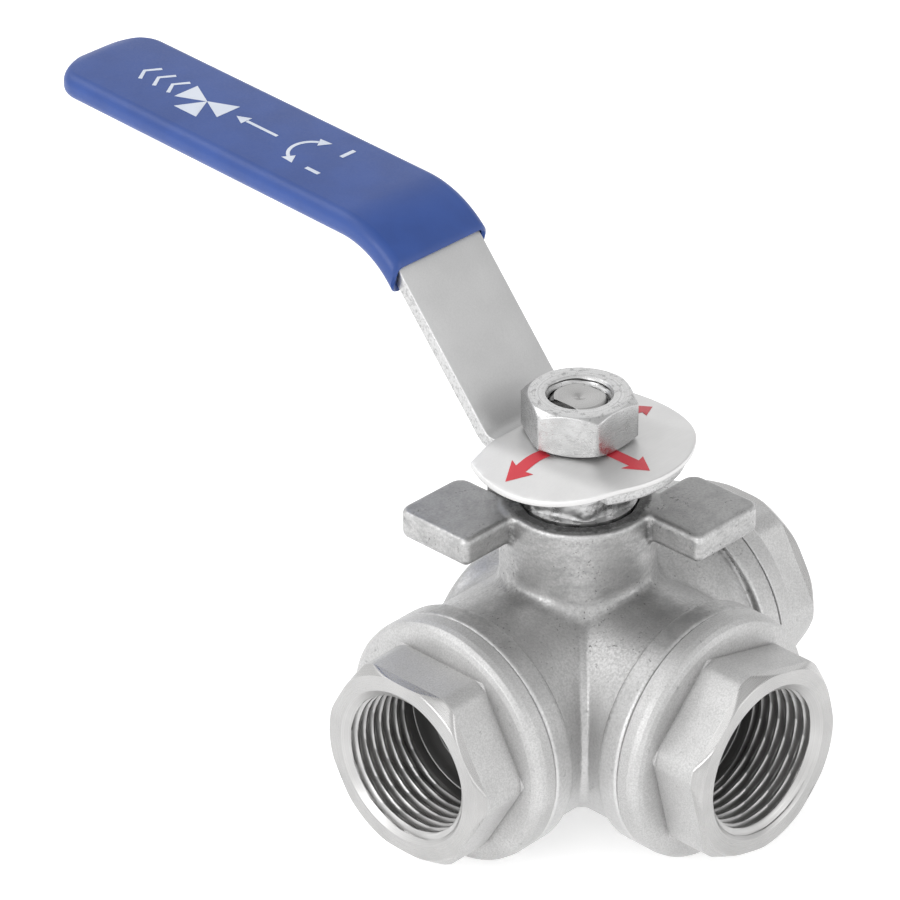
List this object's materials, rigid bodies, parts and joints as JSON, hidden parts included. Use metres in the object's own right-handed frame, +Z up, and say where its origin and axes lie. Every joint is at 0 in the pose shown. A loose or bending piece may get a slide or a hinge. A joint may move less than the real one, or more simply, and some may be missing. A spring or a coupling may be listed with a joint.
{
  "type": "three way ball valve",
  "caption": "T port ball valve in cast stainless steel: female threaded hexagonal end caps, a keyed stem with a direction disc, and a cranked lever with a vinyl grip.",
  "frame": {"origin": "where the axes of the three ports and of the stem meet, at the centre of the ball", "axes": "+X along the run, from the left port to the right port; -Y along the branch port; +Z up along the stem; at rest the lever points along +Y"},
  "size_m": [0.084, 0.1566, 0.0987],
  "materials": {
    "cast_steel": "bead blasted stainless casting, satin grey",
    "turned_steel": "machined stainless steel, bright with fine turning marks",
    "lever_steel": "flat rolled stainless sheet, matt, with sheared edges",
    "disc_steel": "thin satin stainless sheet with three red printed arrows",
    "ptfe": "white PTFE",
    "rubber": "black fluoroelastomer",
    "vinyl": "dip moulded blue vinyl, semi-gloss"
  },
  "bodies": {
    "housing": {"body": "cast_steel", "end_cap_left": "turned_steel", "end_cap_right": "turned_steel", "end_cap_branch": "turned_steel", "body_gasket_left": "ptfe", "body_gasket_right": "ptfe", "body_gasket_branch": "ptfe", "seat_left": "ptfe", "seat_right": "ptfe", "seat_branch": "ptfe", "seat_blind": "ptfe", "thrust_washer": "ptfe", "packing_ring_1": "ptfe", "packing_ring_2": "ptfe", "packing_ring_3": "ptfe", "gland_follower": "turned_steel", "gland_nut": "turned_steel"},
    "handle": {"stem": "turned_steel", "stem_o_ring": "rubber", "travel_stop_plate": "lever_steel", "handle_lever": "lever_steel", "grip_sleeve": "vinyl", "direction_disc": "disc_steel", "stem_nut": "turned_steel"},
    "ball": {"ball": "turned_steel"}
  },
  "joints": [
    {"name": "handle_turn", "type": "hinge", "parent": "housing", "child": "handle", "pos_m": [0, 0, 0.03], "axis": [0, 0, 1], "range_deg": [-90, 0]},
    {"name": "ball_turn", "type": "hinge", "parent": "housing", "child": "ball", "pos_m": [0, 0, 0], "axis": [0, 0, 1], "range_deg": [-90, 0]}
  ],
  "couplings": [
    {"joint": "ball_turn", "follows": "handle_turn", "ratio": 1}
  ]
}
